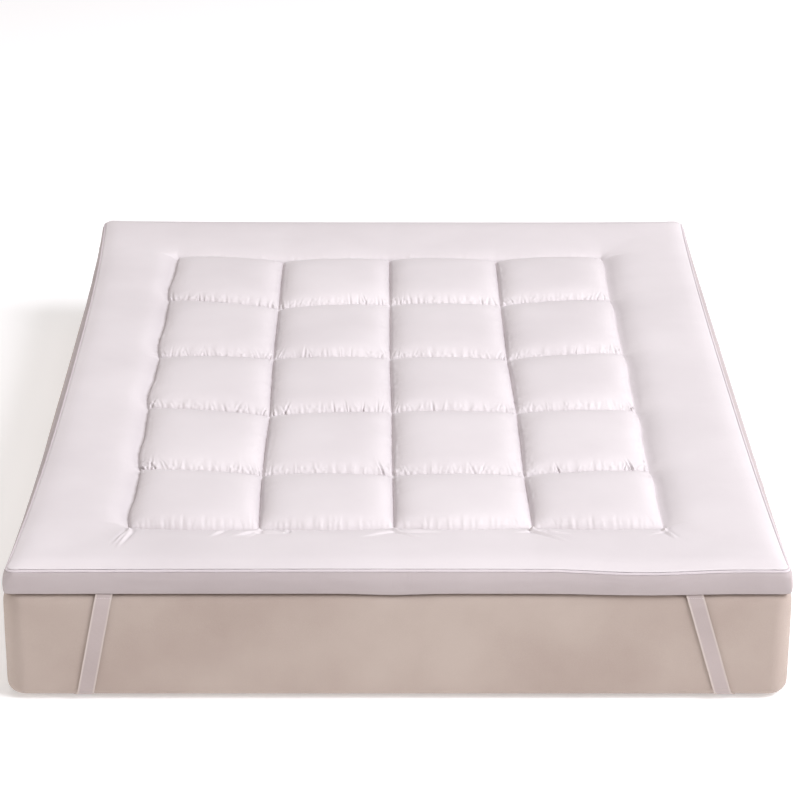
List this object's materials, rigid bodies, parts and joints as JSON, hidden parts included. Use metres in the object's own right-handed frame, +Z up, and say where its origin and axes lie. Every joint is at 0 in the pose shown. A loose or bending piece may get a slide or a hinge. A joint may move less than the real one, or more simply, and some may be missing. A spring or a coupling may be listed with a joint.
{
  "type": "mattress topper on mattress",
  "caption": "Box-edged quilted mattress topper with a plain border and puffed square cells, held by elastic straps that loop under the corners of a plain mattress.",
  "frame": {"origin": "on the surface that the mattress rests on, under its middle", "axes": "+Y from the foot of the bed to its head, +X to the right seen from the foot, +Z up"},
  "size_m": [1.53, 2.024, 0.2942],
  "materials": {
    "mattress_cloth": "smooth taupe knitted cloth, matt",
    "topper_cover": "soft brushed white cotton-like cloth, matt with a faint sheen",
    "topper_piping": "white cloth piping, matt",
    "strap_elastic": "ribbed woven elastic, matt"
  },
  "bodies": {
    "root": {"mattress": "mattress_cloth", "topper_pad": "topper_cover", "topper_piping": "topper_piping", "strap_foot_left": "strap_elastic", "strap_foot_right": "strap_elastic", "strap_head_left": "strap_elastic", "strap_head_right": "strap_elastic"}
  },
  "joints": []
}
